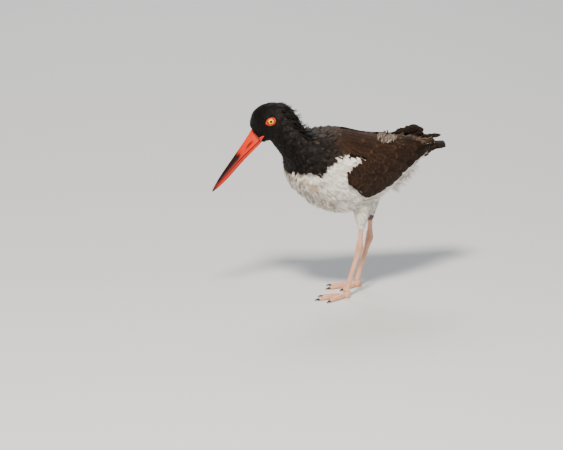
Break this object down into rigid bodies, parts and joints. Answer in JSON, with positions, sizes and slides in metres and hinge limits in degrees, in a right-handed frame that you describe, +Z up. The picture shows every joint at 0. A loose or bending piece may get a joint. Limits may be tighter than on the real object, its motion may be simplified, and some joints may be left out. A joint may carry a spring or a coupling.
{
  "type": "oystercatcher",
  "caption": "Life-size model of an American oystercatcher, standing with neck forward and long red bill pointed down, as it feeds.",
  "frame": {"origin": "on the floor, under the middle of the whole bird's box", "axes": "+Z up, the bird faces -X, its left side faces -Y"},
  "size_m": [0.2948, 0.102, 0.2447],
  "materials": {
    "black_feathers": "near-black feathers with a brown cast",
    "white_feathers": "white feathers with faint buff streaks",
    "wing_feathers": "dark chocolate brown feathers, edges worn paler",
    "bill": "smooth horn, orange-red, dark along the upper half",
    "eye": "wet and glossy, yellow iris and black pupil",
    "eye_ring": "bare orange-red skin",
    "leg_skin": "bare pale pink scaled skin",
    "claw_horn": "dark horn"
  },
  "bodies": {
    "root": {"bill_lower": "bill", "bill_upper": "bill", "claw_left_inner": "claw_horn", "claw_left_middle": "claw_horn", "claw_left_outer": "claw_horn", "claw_right_inner": "claw_horn", "claw_right_middle": "claw_horn", "claw_right_outer": "claw_horn", "eye_left": "eye", "eye_right": "eye", "eye_ring_left": "eye_ring", "eye_ring_right": "eye_ring", "foot_left": "leg_skin", "foot_right": "leg_skin", "head": "black_feathers", "neck": "black_feathers", "shank_left": "leg_skin", "shank_right": "leg_skin", "tail": "wing_feathers", "tarsus_left": "leg_skin", "tarsus_right": "leg_skin", "thigh_left": "white_feathers", "thigh_right": "white_feathers", "torso": "white_feathers", "wing_left": "wing_feathers", "wing_right": "wing_feathers"}
  },
  "joints": []
}
